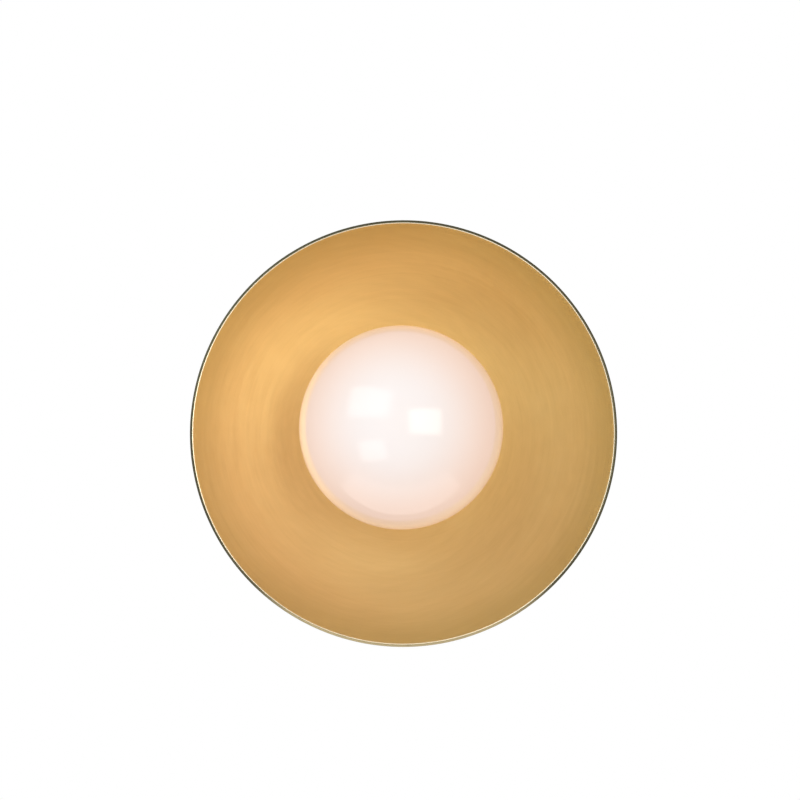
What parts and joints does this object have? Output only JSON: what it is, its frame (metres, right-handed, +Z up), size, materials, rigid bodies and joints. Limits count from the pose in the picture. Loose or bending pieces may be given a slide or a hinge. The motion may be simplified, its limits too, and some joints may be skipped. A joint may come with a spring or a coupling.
{
  "type": "wall sconce",
  "caption": "Flush mount wall sconce: shallow spun brass dish on a back pan, with a warm white opal glass globe screwed into a fitter at its centre around a push-in lamp.",
  "frame": {"origin": "on the wall plane, midway between the two slots for the screws of the wall box, on the axis of the globe and the dish", "axes": "+Y into the wall along the axis of the light, -Y into the room, +Z up, +X to the right for someone who faces the wall"},
  "size_m": [0.305, 0.1796, 0.305],
  "materials": {
    "brushed_brass": "satin, brushed round the axis",
    "dark_bronze": "dark bronze, satin",
    "opal_glass": "opal white, glossy",
    "zinc_steel": "zinc plated",
    "green_screw": "green lacquer",
    "black_rubber": "matt",
    "clear_silicone": "matt, pale",
    "white_ceramic": "unglazed",
    "contact_brass": "bright",
    "white_plastic": "moulded",
    "lead_brown": "matt sleeve",
    "lead_blue": "matt sleeve",
    "lead_green": "matt sleeve",
    "frosted_tube": "frosted",
    "lamp_strip": "coated strip"
  },
  "bodies": {
    "fixture": {"wall_crossbar": "zinc_steel", "centre_stud": "zinc_steel", "stud_nuts": "zinc_steel", "stud_washer": "zinc_steel", "earth_screw": "green_screw", "back_pan": "dark_bronze", "dish": "brushed_brass", "glass_fitter": "brushed_brass", "body_screws": "zinc_steel", "body_nuts": "zinc_steel", "lead_grommet": "black_rubber", "lampholder_bracket": "zinc_steel", "clamp_washer": "zinc_steel", "clamp_nut": "zinc_steel", "lampholder": "white_ceramic", "lampholder_screws": "zinc_steel", "lampholder_contacts": "contact_brass", "terminal_block": "white_plastic", "terminal_inserts": "contact_brass", "terminal_screws": "zinc_steel", "terminal_block_screws": "zinc_steel", "live_lead": "lead_brown", "neutral_lead": "lead_blue", "earth_lead": "lead_green", "earth_lug": "zinc_steel"},
    "globe_seal": {"globe_seal": "clear_silicone"},
    "globe": {"globe": "opal_glass"},
    "lamp": {"lamp_base": "white_plastic", "lamp_pins": "zinc_steel", "lamp_envelope": "frosted_tube", "lamp_board": "lamp_strip"}
  },
  "joints": [
    {"name": "globe_travel", "type": "slide", "parent": "fixture", "child": "globe_seal", "axis": [0, -1, 0], "range_m": [0, 0.007]},
    {"name": "globe_twist", "type": "hinge", "parent": "globe_seal", "child": "globe", "pos_m": [0, -0.1, 0], "axis": [0, -1, 0], "range_deg": [0, 360]},
    {"name": "lamp_pull", "type": "slide", "parent": "fixture", "child": "lamp", "axis": [0, -1, 0], "range_m": [0, 0.015]}
  ],
  "couplings": [
    {"joint": "globe_travel", "follows": "globe_twist", "m_per_rad": 0.0011141}
  ]
}
